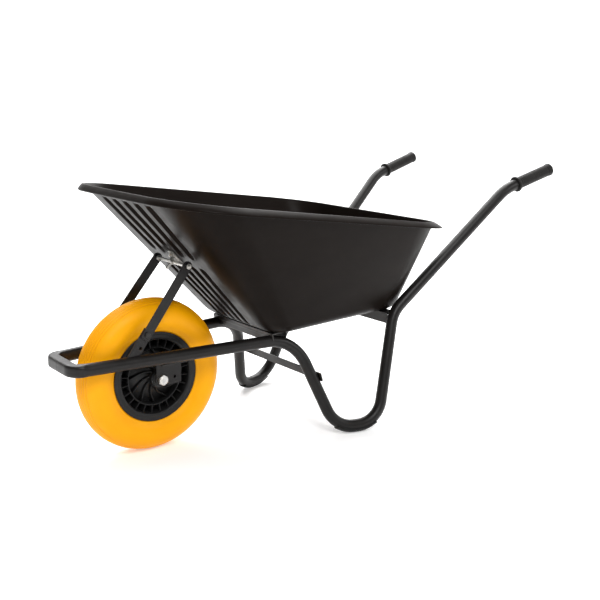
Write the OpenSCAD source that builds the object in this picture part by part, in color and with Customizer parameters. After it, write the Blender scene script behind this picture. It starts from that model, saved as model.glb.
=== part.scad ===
// Single-wheel garden barrow: bent tube frame, plastic tray, solid foam tyre on a moulded rim.
// Millimetres, +Z up, wheel at -X, handles at +X, mirror plane y = 0, ground at z = 0.

/* [Wheel] */
// Diameter of the tyre
wheel_d = 400; // [380:1:405]
// Width of the tyre section
tyre_w = 94; // [80:1:98]
// Diameter over the rim flanges
rim_d = 235; // [225:1:245]
// Width over the rim flanges
rim_w = 75; // [70:1:80]
// Number of ribs on each face of the rim
rim_ribs = 12; // [8:1:16]

/* [Axle] */
// Diameter of the axle bolt
axle_d = 16; // [14:1:18]
// Gap between the two axle brackets
fork_gap = 124; // [120:1:130]
// Radial running clearance of the bushes on the sleeve
run_fit = 0.06; // [0.03:0.01:0.1]

/* [Frame tube] */
// Outside diameter of the tube
tube_d = 32; // [28:1:34]
// Wall of the tube
tube_wall = 1.5; // [1.2:0.1:2.5]
// Distance of the nose bar ahead of the axle
nose_reach = 235; // [230:1:250]
// Height of the rails above the ground
rail_z = 265; // [260:1:270]
// Height of the tube centre line over the ground at the feet
foot_z = 18.4; // [17:0.1:18.6]
// Height of the grip ends
grip_z = 684; // [670:1:700]
// Half spacing of the grip ends
grip_y = 291; // [280:1:300]

/* [Tray] */
// Length of the tray at the top of the wall
tray_top_len = 818; // [800:1:830]
// Half width of the tray at the front of the top
tray_top_front = 314; // [305:1:318]
// Half width of the tray at the back of the top
tray_top_back = 340; // [330:1:344]
// Wall of the tray
tray_wall = 3.5; // [3:0.1:5]
// Width of the turned-out rim of the tray
rim_lip = 28; // [20:1:30]

/* [Flat bars] */
// Width of the struts and of the leg brace
bar_w = 25; // [20:1:28]
// Thickness of the struts and of the leg brace
bar_t = 4; // [3:0.5:5]
// Diameter of the small fixing bolts
bolt_d = 6; // [5:0.5:6.5]

/* [Hidden] */
$fn = 64;

// Left is -y, right is +y.
LEFT = -1;
RIGHT = 1;
wheel_r = wheel_d / 2;
tube_r = tube_d / 2;
axle_r = axle_d / 2;
nose_half = 68;
knee_x = 661;

// Centre line of the right half of the tube: nose, rail, leg loop, knee, wrist, grip end.
PATH = [
    [-nose_reach, 0, rail_z],
    [-nose_reach, nose_half, rail_z],
    [366, 135, rail_z],
    [440, 227, foot_z],
    [564, 264, foot_z],
    [knee_x, 211, 306],
    [1036, 276.5, 634],
    [1217, grip_y, grip_z]];
BEND = [0, 30, 110, 80, 80, 110, 140, 0];
grip_wall = 1.5;
grip_cap = 4;
grip_len = 146;

// The part's origin is the middle of its footprint.
x_front = -nose_reach - tube_r;
grip_dir = (PATH[7] - PATH[6]) / norm(PATH[7] - PATH[6]);
x_back = PATH[7][0] + (tube_r + grip_wall) * sqrt(1 - pow(grip_dir[0], 2));
x_mid = (x_front + x_back) / 2;

// Tray outlines, low plane and high plane. Both planes slope along x.
low_front = 279;
low_back = 732;
low_half_front = 175.5;
low_half_back = 180;
low_z = 293;
low_slope = 0.04;
top_front = -63;
top_back = top_front + tray_top_len;
top_z = 612;
top_slope = -0.138;
slope_x = 400;
low_tilt = -atan(low_slope);
front_bow = 16;

function unit(v) = v / norm(v);
function side(p, s) = [p[0], s * p[1], p[2]];
function half_path(s) = [for (p = PATH) side(p, s)];
function inward(u, v) = unit(v - (u * v) * u);
function turn(u, v) = acos(u * v);
function run_in(P, i) = unit(P[i] - P[i - 1]);
function run_out(P, i) = unit(P[i + 1] - P[i]);
function setback(P, i) =
    BEND[i] == 0 ? 0 : BEND[i] * tan(turn(run_in(P, i), run_out(P, i)) / 2);
function low_plane(x) = low_z + low_slope * (x - slope_x);
function top_plane(x) = top_z + top_slope * (x - slope_x);

// Moves children so that their axes x, y, z lie along a, b and a cross b at point o.
module on_axes(o, a, b) {
    c = cross(a, b);
    multmatrix([
        [a[0], b[0], c[0], o[0]],
        [a[1], b[1], c[1], o[1]],
        [a[2], b[2], c[2], o[2]],
        [0, 0, 0, 1]]) children();
}

module placed() {
    translate([-x_mid, 0, 0]) children();
}

// Child z axis runs along y, and child y axis runs along -z.
module along_y(p) {
    translate(p) rotate([-90, 0, 0]) children();
}

// Straight run from bend i to bend i + 1. Child is the section, x away from the bend centre.
module run(P, i) {
    u = run_out(P, i);
    a = P[i] + u * setback(P, i);
    b = P[i + 1] - u * setback(P, i + 1);
    k = BEND[i + 1] > 0 ? i + 1 : i;
    n = -inward(run_in(P, k), run_out(P, k));
    n1 = unit(n - (n * u) * u);
    on_axes(a, n1, cross(u, n1)) linear_extrude(height = norm(b - a)) children();
}

// Bend number i, swept from angle from_a to from_a + sweep_a.
module bend(P, i, from_a = 0, sweep_a = 0) {
    u = run_in(P, i);
    v = run_out(P, i);
    n = inward(u, v);
    c = P[i] - u * setback(P, i) + n * BEND[i];
    whole = turn(u, v);
    on_axes(c, -n, u)
        rotate([0, 0, from_a])
            rotate_extrude(angle = sweep_a == 0 ? whole : sweep_a, $fn = 96)
                translate([BEND[i], 0]) children();
}

module ring(r, wall) {
    difference() {
        circle(r);
        circle(r - wall);
    }
}

// Solid rod along the path. Each bend reaches into its runs and is slightly thinner, as a drawn
// bend is, so that the faces cross cleanly.
bend_lap = 1;
bend_thin = 0.3;

module rod(P, last, r, over = 0) {
    for (i = [0:last - 1]) {
        u = run_out(P, i);
        a = P[i] + u * (setback(P, i) - (i == 0 ? over : 0));
        b = P[i + 1] - u * (i == last - 1 ? -over : setback(P, i + 1));
        x = i > 0 ? unit(cross(u, run_in(P, i))) : [0, 0, 1];
        on_axes(a, x, cross(u, x)) cylinder(h = norm(b - a), r = r);
    }
    for (i = [1:last - 1]) {
        lap = bend_lap / BEND[i] * 180 / PI;
        bend(P, i, -lap, turn(run_in(P, i), run_out(P, i)) + 2 * lap) circle(r - bend_thin);
    }
}

// Puts children at the start of run i, z along the run and x away from the next bend's centre.
module at_run(P, i) {
    u = run_out(P, i);
    x = -inward(run_in(P, i + 1), run_out(P, i + 1));
    on_axes(P[i] + u * setback(P, i), x, cross(u, x)) children();
}

// Half of the frame tube, cut off square inside the grip.
module frame_tube(s) {
    full = half_path(s);
    end = full[7] - run_out(full, 6) * (grip_cap + 1);
    P = [for (i = [0:7]) i < 7 ? full[i] : end];
    color("dimgray") placed() difference() {
        rod(P, 7, tube_r);
        rod(P, 7, tube_r - tube_wall, 1);
    }
}

// Spigot that joins the two halves inside the nose bar.
module nose_sleeve() {
    r = tube_r - tube_wall - 0.1;
    color("gray") placed() along_y([-nose_reach, -30, rail_z])
        linear_extrude(height = 60) ring(r, 2);
}

bracket_t = 4;
bracket_y = fork_gap / 2;
bracket_front = -15;
bracket_back = 56;
bracket_low = 184;
bracket_nose = 18;
bracket_top = rail_z - tube_r - 0.1;
bracket_flange = 36;

module axle_bracket(s) {
    y0 = s > 0 ? bracket_y : -bracket_y - bracket_t;
    f0 = s > 0 ? bracket_y : -bracket_y - bracket_flange;
    color("dimgray") placed() union() {
        difference() {
            translate([0, y0 + bracket_t, 0]) rotate([90, 0, 0])
                linear_extrude(height = bracket_t) bracket_outline();
            along_y([0, y0 - 1, wheel_r]) cylinder(h = bracket_t + 2, r = axle_r + 0.3);
            along_y([37, y0 - 1, wheel_r + 2]) cylinder(h = bracket_t + 2, r = spare_hole_r);
        }
        translate([bracket_front, f0, bracket_top - bracket_t])
            cube([bracket_back - bracket_front, bracket_flange, bracket_t]);
    }
}

module bracket_outline() {
    union() {
        translate([0, wheel_r]) circle(bracket_nose);
        difference() {
            translate([bracket_front, bracket_low])
                square([bracket_back - bracket_front, bracket_top - bracket_low]);
            translate([bracket_front - 1, bracket_low - 1])
                square([1 - bracket_front, wheel_r - bracket_low + 1]);
        }
    }
}

// Strut line, from the bottom end to the rod through the top end.
strut_foot = [-57, 85.5, 318];
strut_head = [76, 75.5, 485];
strut_over = 14;
strut_bolt_at = 14;
tab_half_w = 14;
tab_len = 56;
tab_hole = [-22, 5];
spare_hole_r = 4.25;

module strut_frame(s) {
    a = side(strut_foot, s);
    u = unit(side(strut_head, s) - a);
    w = unit(cross([0, 1, 0], u));
    on_axes(a, u, w) children();
}

// Flat bar: x along the bar, y across it, z through it.
module flat(x0, x1, w, t, z0) {
    translate([x0, -w / 2, z0]) cube([x1 - x0, w, t]);
}

function strut_len() = norm(strut_head - strut_foot);

module strut(s) {
    z0 = -bar_t / 2;
    color("dimgray") placed() strut_frame(s) difference() {
        union() {
            flat(0, strut_len(), bar_w, bar_t, z0);
            translate([strut_len(), 0, z0]) cylinder(h = bar_t, r = bar_w / 2);
        }
        translate([strut_bolt_at, 0, z0 - 1]) cylinder(h = bar_t + 2, r = 4.3);
        translate([strut_len(), 0, z0 - 1]) cylinder(h = bar_t + 2, r = 4.6);
    }
}

// The tab stands on the rail, on the wheel side of the strut.
module strut_tab(s) {
    z0 = s > 0 ? -bar_t * 1.5 - 0.1 : bar_t / 2 + 0.1;
    P = half_path(s);
    color("dimgray") placed() difference() {
        strut_frame(s) difference() {
            flat(-tab_len, strut_bolt_at + 12, 2 * tab_half_w, bar_t, z0);
            translate([strut_bolt_at, 0, z0 - 1]) cylinder(h = bar_t + 2, r = 4.3);
            translate([tab_hole[0], tab_hole[1], z0 - 1]) cylinder(h = bar_t + 2, r = spare_hole_r);
        }
        run(P, 1) circle(tube_r + 0.05);
    }
}

module hex_head(af, h) {
    cylinder(h = h, r = af / 2 / cos(30), $fn = 6);
}

module strut_bolts() {
    color("dimgray") placed() for (s = [LEFT, RIGHT]) strut_frame(s)
        translate([strut_bolt_at, 0, 0]) mirror([0, 0, s > 0 ? 0 : 1]) union() {
            translate([0, 0, bar_t / 2]) hex_head(13, 5.5);
            translate([0, 0, -bar_t * 1.5 - 9.5]) cylinder(h = bar_t * 2 + 9.5, r = 4);
        }
}

module strut_nuts() {
    color("dimgray") placed() for (s = [LEFT, RIGHT]) strut_frame(s)
        translate([strut_bolt_at, 0, 0]) mirror([0, 0, s > 0 ? 0 : 1])
            translate([0, 0, -bar_t * 1.5 - 6.8]) difference() {
                hex_head(13, 6.5);
                translate([0, 0, -1]) cylinder(h = 9, r = 4);
            }
}

rod_r = 4;
rod_half = strut_head[1] + 14;

module strut_rod() {
    color("silver") placed() along_y([strut_head[0], -rod_half, strut_head[2]])
        cylinder(h = 2 * rod_half, r = rod_r);
}

// One nut on each face of each strut.
module strut_rod_nuts() {
    out_y = strut_head[1] + bar_t / 2 + 1;
    in_y = strut_head[1] - bar_t / 2 - 1 - 6.5;
    color("silver") placed() for (y = [out_y, in_y, -out_y - 6.5, -in_y - 6.5])
        along_y([strut_head[0], y, strut_head[2]]) difference() {
            hex_head(13, 6.5);
            translate([0, 0, -1]) cylinder(h = 9, r = rod_r);
        }
}

// Middle of the tray's front wall, seen along y: from the low plane up to the rim.
wall_low = [low_front, 0, low_plane(low_front)];
bow_front = top_front - front_bow;
wall_top = [bow_front, 0, top_plane(bow_front)];
wall_up = unit(wall_top - wall_low);
wall_out = cross(wall_up, [0, 1, 0]);
rod_mid = [strut_head[0], 0, strut_head[2]];
rod_off = (rod_mid - wall_low) * wall_out;
clip_foot = rod_mid - rod_off * wall_out;
clip_t = 3;
clip_bolt_at = 17;
clip_gap = 0.3;
clip_wide = 24;
clip_pin = 3;
clip_pin_len = 24;

module on_wall() {
    on_axes(clip_foot, wall_up, [0, 1, 0]) children();
}

module tray_clip() {
    ear = 7;
    color("silver") placed() on_wall() difference() {
        union() {
            translate([-26, -clip_wide / 2, clip_gap]) cube([52, clip_wide, clip_t]);
            translate([-ear, -ear, clip_gap]) cube([2 * ear, 2 * ear, rod_off - clip_gap]);
            translate([-clip_pin, -clip_pin, rod_off])
                cube([2 * clip_pin, 2 * clip_pin, clip_pin_len]);
            translate([0, ear, rod_off]) rotate([90, 0, 0]) cylinder(h = 2 * ear, r = ear);
        }
        translate([0, ear + 1, rod_off]) rotate([90, 0, 0])
            cylinder(h = 2 * ear + 2, r = rod_r + 0.1);
        for (x = [-clip_bolt_at, clip_bolt_at])
            translate([x, 0, -1]) cylinder(h = clip_t + 3, r = bolt_d / 2 + 0.3);
    }
}

// Shallow dome with its flat side down at z = 0.
module dome(r, h) {
    big = (r * r + h * h) / (2 * h);
    intersection() {
        translate([0, 0, h - big]) sphere(big);
        cylinder(h = h + 1, r = r + 1);
    }
}

// Dome-headed bolt, head up at z = 0, shank down.
module dome_bolt(len) {
    union() {
        dome(bolt_d, 3.5);
        translate([0, 0, -len]) cylinder(h = len + 0.5, r = bolt_d / 2);
    }
}

module small_nut() {
    difference() {
        hex_head(10, 5);
        translate([0, 0, -1]) cylinder(h = 7, r = bolt_d / 2);
    }
}

module tray_clip_bolt() {
    color("silver") placed() on_wall() for (x = [-clip_bolt_at, clip_bolt_at])
        translate([x, 0, 0.4 - tray_wall]) mirror([0, 0, 1])
            dome_bolt(tray_wall + clip_t + 9);
}

module tray_clip_nut() {
    color("silver") placed() on_wall() for (x = [-clip_bolt_at, clip_bolt_at])
        translate([x, 0, clip_t + clip_gap + 0.1]) small_nut();
}

// Cross members lie square under the tray's sloping floor.
module under_tray(x) {
    translate([x, 0, low_plane(x)]) rotate([0, low_tilt, 0]) children();
}

cross_gap = 0.3;
cross_t = 3;
front_cross_x = 314;
front_cross_w = 50;
front_cross_half = 143;
front_cross_deep = 28;
front_cross_lean = 5;
front_bolt_y = 72;
rear_cross_x = 648;
rear_cross_w = 34;
rear_cross_deep = 30;
rear_cross_half = 200;
rear_bolt_x = 668;
rear_bolt_y = 120;

// Inverted channel that saddles both rails.
module front_crossmember() {
    w = front_cross_w / 2;
    d = front_cross_deep;
    l = front_cross_lean;
    t = cross_t;
    color("dimgray") placed() difference() {
        under_tray(front_cross_x) difference() {
            translate([0, front_cross_half, 0]) rotate([90, 0, 0])
                linear_extrude(height = 2 * front_cross_half) polygon([
                    [-w, -cross_gap], [w, -cross_gap], [w - l, -d], [w - l - t, -d],
                    [w - t, -cross_gap - t], [-w + t, -cross_gap - t],
                    [-w + l + t, -d], [-w + l, -d]]);
            for (y = [-front_bolt_y, front_bolt_y])
                translate([0, y, -t - 2]) cylinder(h = t + 3, r = bolt_d / 2 + 0.3);
        }
        for (s = [LEFT, RIGHT]) {
            run(half_path(s), 1) circle(tube_r + 0.1);
            bend(half_path(s), 2) circle(tube_r + 0.1);
        }
    }
}

// Screws on the wheel side of each rail bend.
module rail_screws() {
    h = 5;
    color("silver") placed() for (s = [LEFT, RIGHT]) {
        y = s * 118.8;
        along_y([342, s > 0 ? y - h : y, 259]) hex_head(10, h);
    }
}

// Angle bar: level flange under the tray, web down at its front edge.
module rear_crossmember() {
    t = cross_t;
    color("dimgray") placed() difference() {
        under_tray(rear_cross_x) difference() {
            translate([0, rear_cross_half, 0]) rotate([90, 0, 0])
                linear_extrude(height = 2 * rear_cross_half) polygon([
                    [0, -cross_gap], [rear_cross_w, -cross_gap],
                    [rear_cross_w, -cross_gap - t], [t, -cross_gap - t],
                    [t, -rear_cross_deep], [0, -rear_cross_deep]]);
            for (y = [-rear_bolt_y, rear_bolt_y])
                translate([rear_bolt_x - rear_cross_x, y, -t - 2])
                    cylinder(h = t + 3, r = bolt_d / 2 + 0.3);
        }
        for (s = [LEFT, RIGHT]) {
            for (i = [3:5]) run(half_path(s), i) circle(tube_r + 0.1);
            for (i = [4, 5]) bend(half_path(s), i) circle(tube_r + 0.1);
        }
    }
}

// Brace across the front legs, square to their common lean.
brace_z = 152;
brace_half = 195;
leg_share = (rail_z - brace_z) / (rail_z - foot_z);
leg_at = PATH[2] + leg_share * (PATH[3] - PATH[2]);
leg_lean = atan((PATH[3][0] - PATH[2][0]) / (rail_z - foot_z));

module on_brace() {
    translate([leg_at[0], 0, leg_at[2]]) rotate([0, -leg_lean, 0]) children();
}

module leg_brace() {
    x0 = tube_r + 0.1;
    color("dimgray") placed() on_brace() difference() {
        translate([x0, -brace_half, -bar_w / 2]) cube([bar_t, 2 * brace_half, bar_w]);
        for (y = [-leg_at[1], leg_at[1]])
            translate([x0 - 1, y, 0]) rotate([0, 90, 0])
                cylinder(h = bar_t + 2, r = bolt_d / 2 + 0.3);
    }
}

module brace_bolts() {
    x1 = tube_r + bar_t + 0.2;
    color("silver") placed() on_brace() for (y = [-leg_at[1], leg_at[1]])
        translate([x1, y, 0]) rotate([0, 90, 0]) union() {
            hex_head(10, 4.5);
            translate([0, 0, -bar_t]) cylinder(h = bar_t + 1, r = bolt_d / 2);
        }
}

pad_t = 3;
pad_sweep = 34;

// Half shell of a tube section on the outside of a bend. The ground plane trims it flat.
module pad_section() {
    intersection() {
        difference() {
            circle(tube_r + pad_t);
            circle(tube_r + 0.15);
        }
        polygon([[0, 0], [20, -30], [40, -30], [40, 30], [20, 30]]);
    }
}

module pad_arc(r) {
    translate([-r, 0, 0]) rotate([90, 0, 0])
        rotate_extrude(angle = pad_sweep, $fn = 96) translate([r, 0]) pad_section();
}

module foot_pad(s) {
    P = half_path(s);
    flat_len = norm(P[4] - P[3]) - setback(P, 3) - setback(P, 4);
    color("dimgray") placed() difference() {
        at_run(P, 3) union() {
            linear_extrude(height = flat_len) pad_section();
            translate([0, 0, flat_len]) pad_arc(BEND[4]);
            mirror([0, 0, 1]) pad_arc(BEND[3]);
        }
        translate([P[3][0] - 100, P[3][1] - 100, -50]) cube([300, 300, 50]);
    }
}

collar_r = 23;
collar_w = 8;

module grip(s) {
    P = half_path(s);
    u = run_out(P, 6);
    side_u = unit(cross([0, 0, 1], u));
    r = tube_r + grip_wall;
    color([0.1, 0.1, 0.1]) placed()
        on_axes(P[7] - grip_len * u, side_u, cross(u, side_u)) difference() {
            union() {
                cylinder(h = grip_len, r = r);
                cylinder(h = collar_w, r = collar_r);
            }
            translate([0, 0, -1]) cylinder(h = grip_len - grip_cap + 1, r = tube_r + 0.05);
        }
}

// Stack along the axle, from the middle out: sleeve, washer, bracket, head or nut.
washer_t = 2;
sleeve_r = 12;
sleeve_half = bracket_y - washer_t - 0.05;
bush_out = sleeve_half - 0.4;
bush_len = 22;
bush_flange = 3;
hub_half = bush_out - bush_flange - 0.1;
bush_r = 16;
hub_r = 24;
head_h = 10;
head_af = 24;
nut_h = 14;

module axle_bolt() {
    y1 = bracket_y + bracket_t + 0.1;
    color("silver") placed() union() {
        along_y([0, -y1 - head_h, wheel_r]) hex_head(head_af, head_h);
        along_y([0, -y1 - 0.5, wheel_r]) cylinder(h = 2 * y1 + nut_h + 4, r = axle_r);
    }
}

module axle_nut() {
    y1 = bracket_y + bracket_t + 0.1;
    color("silver") placed() difference() {
        along_y([0, y1, wheel_r]) hex_head(head_af, nut_h);
        along_y([0, y1 - 1, wheel_r]) cylinder(h = nut_h + 2, r = axle_r);
    }
}

module axle_sleeve() {
    color("gray") placed() along_y([0, -sleeve_half, wheel_r])
        linear_extrude(height = 2 * sleeve_half) ring(sleeve_r, sleeve_r - axle_r - 0.1);
}

module axle_washers() {
    color("silver") placed() for (y = [-bracket_y + 0.02, bracket_y - washer_t - 0.02])
        along_y([0, y, wheel_r]) linear_extrude(height = washer_t)
            ring(15, 15 - axle_r - 0.2);
}

// Flanged bush, pressed into the hub and turning on the sleeve.
module bush(s) {
    color("ivory") placed() translate([0, 0, wheel_r]) mirror([0, s > 0 ? 0 : 1, 0])
        rotate([-90, 0, 0]) difference() {
            union() {
                translate([0, 0, bush_out - bush_len]) cylinder(h = bush_len, r = bush_r);
                translate([0, 0, bush_out - bush_flange])
                    cylinder(h = bush_flange, r = bush_r + 4);
            }
            translate([0, 0, bush_out - bush_len - 1])
                cylinder(h = bush_len + 2, r = sleeve_r + run_fit);
        }
}

// Wheel sections are drawn with x as radius and y along the axle.
rim_r = rim_d / 2;
seat_r = rim_r - 16;
barrel_r = seat_r - 4;
flange_t = 4;
web_r = barrel_r - 1;
web_t = 5;
rib_in = hub_r + 4;
rib_t = 3;
tyre_h = tyre_w / 2;
tyre_mid = wheel_r - tyre_h;

module revolve() {
    translate([0, 0, wheel_r]) rotate([90, 0, 0]) rotate_extrude($fn = 96) children();
}

module tyre() {
    w = rim_w / 2;
    color("orange") placed() revolve() union() {
        difference() {
            translate([tyre_mid, 0]) circle(tyre_h);
            translate([0, -tyre_h - 1]) square([rim_r + 0.3, tyre_w + 2]);
        }
        translate([seat_r + 0.1, -w + flange_t + 0.2])
            square([rim_r - seat_r + 8, 2 * (w - flange_t - 0.2)]);
    }
}

module rim_section() {
    w = rim_w / 2;
    union() {
        translate([barrel_r, -w]) square([seat_r - barrel_r, rim_w]);
        for (y = [-w, w - flange_t]) translate([barrel_r, y]) square([rim_r - barrel_r, flange_t]);
        translate([bush_r + 1, -web_t / 2]) square([barrel_r - bush_r, web_t]);
        translate([bush_r + 0.05, -hub_half]) square([hub_r - bush_r, 2 * hub_half]);
    }
}

module rim() {
    w = rim_w / 2 - 8;
    color([0.12, 0.12, 0.12]) placed() union() {
        revolve() rim_section();
        translate([0, 0, wheel_r]) rotate([90, 0, 0]) for (i = [0:rim_ribs - 1])
            rotate([0, 0, i * 360 / rim_ribs])
                translate([hub_r - 2, -rib_t / 2, -w])
                    cube([barrel_r - hub_r + 4, rib_t, 2 * w]);
    }
}

// Tray rings. Points go round a rounded trapezoid from the back left corner.
corner_n = 8;
low_corner_front = 58;
low_corner_back = 66;
top_corner_front = 151;
top_corner_back = 128;
bow_reach = 250;
foot_inset = 20;
foot_rise = 0.055;

function corner(cx, cy, r, a0) =
    [for (i = [0:corner_n]) let (a = a0 + 90 * i / corner_n) [cx + r * cos(a), cy + r * sin(a)]];
function between(a, b, n) = [for (i = [1:n]) a + (b - a) * i / (n + 1)];
function joined(list) = [for (l = list) for (p = l) p];
function outline(xf, xb, hf, hb, rf, rb) =
    let (
        c1 = corner(xb - rb, hb - rb, rb, 0),
        c2 = corner(xf + rf, hf - rf, rf, 90),
        c3 = corner(xf + rf, rf - hf, rf, 180),
        c4 = corner(xb - rb, rb - hb, rb, 270))
    joined([c1, c2, between(c2[corner_n], c3[0], 5), c3, c4]);
function bowed(p, half) =
    [p[0] - front_bow * (1 - pow(p[1] / half, 2)) * max(0, min(1, (bow_reach - p[0]) / bow_reach)),
    p[1]];
function low_ring(d) =
    [for (p = outline(low_front - d, low_back + d, low_half_front + d, low_half_back + d,
        low_corner_front + d, low_corner_back + d)) [p[0], p[1], low_plane(p[0])]];
function top_ring(d) =
    [for (p = outline(top_front - d, top_back + d, tray_top_front + d, tray_top_back + d,
        top_corner_front + d, top_corner_back + d))
        let (q = bowed(p, tray_top_front + d)) [q[0], q[1], top_plane(q[0])]];
function tray_ring(t, d, lift = 0) =
    let (a = low_ring(d), b = top_ring(d))
    [for (i = [0:len(a) - 1]) a[i] * (1 - t) + b[i] * t + [0, 0, lift]];

// Closed skin through a stack of rings, with flat ends.
module skin(rings) {
    n = len(rings[0]);
    last = (len(rings) - 1) * n;
    faces_low = [[for (i = [0:n - 1]) i]];
    faces_high = [[for (i = [0:n - 1]) last + n - 1 - i]];
    sides = [for (k = [0:len(rings) - 2]) for (i = [0:n - 1]) let (j = (i + 1) % n)
        for (f = [0, 1]) f == 0
            ? [k * n + j, k * n + i, k * n + n + i]
            : [k * n + j, k * n + n + i, k * n + n + j]];
    polyhedron(points = joined(rings), faces = concat(faces_low, sides, faces_high));
}

module tray() {
    w = tray_wall;
    lip = rim_lip;
    rings = [
        tray_ring(0, -foot_inset),
        tray_ring(foot_rise, 0),
        tray_ring(0.965, 0),
        tray_ring(0.945, lip - 1.5),
        tray_ring(0.955, lip),
        tray_ring(0.995, 2),
        tray_ring(1, -1),
        tray_ring(0.985, -w),
        tray_ring(foot_rise + 0.008, -w),
        tray_ring(0, -foot_inset - 2, w)];
    color([0.16, 0.15, 0.14]) placed() difference() {
        skin(rings);
        under_tray(front_cross_x) for (y = [-front_bolt_y, front_bolt_y])
            translate([0, y, -5]) cylinder(h = 15, r = bolt_d / 2 + 0.3);
        under_tray(rear_cross_x) for (y = [-rear_bolt_y, rear_bolt_y])
            translate([rear_bolt_x - rear_cross_x, y, -5]) cylinder(h = 15, r = bolt_d / 2 + 0.3);
        on_wall() for (x = [-clip_bolt_at, clip_bolt_at])
            translate([x, 0, -12]) cylinder(h = 20, r = bolt_d / 2 + 0.3);
    }
}

// The same four places for bolts, washers and nuts.
module at_tray_bolts() {
    for (s = [LEFT, RIGHT]) {
        under_tray(front_cross_x) translate([0, s * front_bolt_y, 0]) children();
        under_tray(rear_cross_x)
            translate([rear_bolt_x - rear_cross_x, s * rear_bolt_y, 0]) children();
    }
}

module tray_bolts() {
    color("silver") placed() at_tray_bolts() translate([0, 0, tray_wall + 1.7])
        dome_bolt(tray_wall + cross_t + 12);
}

module tray_washers() {
    color("silver") placed() at_tray_bolts() translate([0, 0, tray_wall + 0.1])
        linear_extrude(height = 1.5) ring(10, 10 - bolt_d / 2 - 0.2);
}

module tray_nuts() {
    color("silver") placed() at_tray_bolts() translate([0, 0, -cross_gap - cross_t - 5.1])
        small_nut();
}

frame_tube(LEFT);  // frame_tube_left
frame_tube(RIGHT);  // frame_tube_right
nose_sleeve();
axle_bracket(LEFT);  // axle_bracket_left
axle_bracket(RIGHT);  // axle_bracket_right
strut_tab(LEFT);  // strut_tab_left
strut_tab(RIGHT);  // strut_tab_right
strut(LEFT);  // strut_left
strut(RIGHT);  // strut_right
strut_bolts();
strut_nuts();
strut_rod();
strut_rod_nuts();
tray_clip();
tray_clip_bolt();
tray_clip_nut();
front_crossmember();
rail_screws();
rear_crossmember();
leg_brace();
brace_bolts();
foot_pad(LEFT);  // foot_pad_left
foot_pad(RIGHT);  // foot_pad_right
grip(LEFT);  // grip_left
grip(RIGHT);  // grip_right
axle_bolt();
axle_nut();
axle_sleeve();
axle_washers();
tyre();
rim();
bush(LEFT);  // bush_left
bush(RIGHT);  // bush_right
tray();
tray_bolts();
tray_washers();
tray_nuts();
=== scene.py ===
"""Visual model of a single-wheel garden barrow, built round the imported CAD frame."""

import math

import bmesh
import bpy
from mathutils import Matrix, Vector
from mathutils.geometry import tessellate_polygon


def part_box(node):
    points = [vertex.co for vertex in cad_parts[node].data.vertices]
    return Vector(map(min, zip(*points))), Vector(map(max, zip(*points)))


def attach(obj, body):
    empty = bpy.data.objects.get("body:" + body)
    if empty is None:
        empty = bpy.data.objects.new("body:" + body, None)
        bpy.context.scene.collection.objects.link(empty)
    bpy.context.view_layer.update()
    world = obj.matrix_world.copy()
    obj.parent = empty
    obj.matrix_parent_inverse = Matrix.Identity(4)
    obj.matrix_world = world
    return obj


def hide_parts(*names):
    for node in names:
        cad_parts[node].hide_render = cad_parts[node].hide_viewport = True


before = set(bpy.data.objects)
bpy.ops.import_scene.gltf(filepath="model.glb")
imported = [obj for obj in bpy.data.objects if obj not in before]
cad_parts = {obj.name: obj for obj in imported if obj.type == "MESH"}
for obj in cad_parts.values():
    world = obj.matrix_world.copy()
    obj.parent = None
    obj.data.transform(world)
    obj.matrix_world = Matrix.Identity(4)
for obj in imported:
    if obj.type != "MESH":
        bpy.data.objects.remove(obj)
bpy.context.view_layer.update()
MM = 0.001
_low, _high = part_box("axle_sleeve")
AXLE = (_low + _high) / 2
AXLE_Z = AXLE.z / MM
SIDES = {"left": -1, "right": 1}


def at(p):
    """Millimetres from the ground point under the axle to metres in the row frame."""
    return Vector((AXLE.x + p[0] * MM, AXLE.y + p[1] * MM, p[2] * MM))


# ---------------------------------------------------------------- camera
CAM_AT = (-1101.255, -2038.763, 932.308)
YAW, PITCH, ROLL = (math.radians(v) for v in (38.18, -12.98, 0.34))
FOCAL, FRAME_PX = 924.7, 600
forward = Vector((math.sin(YAW) * math.cos(PITCH), math.cos(YAW) * math.cos(PITCH), math.sin(PITCH)))
flat_right = Vector((math.cos(YAW), -math.sin(YAW), 0))
flat_up = flat_right.cross(forward)
cam_right = flat_right * math.cos(ROLL) + flat_up * math.sin(ROLL)
cam_up = flat_up * math.cos(ROLL) - flat_right * math.sin(ROLL)
cam_data = bpy.data.cameras.new("camera")
cam_data.sensor_width = 36
cam_data.lens = FOCAL / FRAME_PX * 36
cam_data.shift_x = -0.004
cam_data.shift_y = -0.0058
cam_data.clip_start = 0.05
camera = bpy.data.objects.new("camera", cam_data)
bpy.context.scene.collection.objects.link(camera)
camera.matrix_world = Matrix.Translation(at(CAM_AT)) @ Matrix(
    (cam_right, cam_up, -forward)).transposed().to_4x4()
bpy.context.scene.camera = camera


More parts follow.
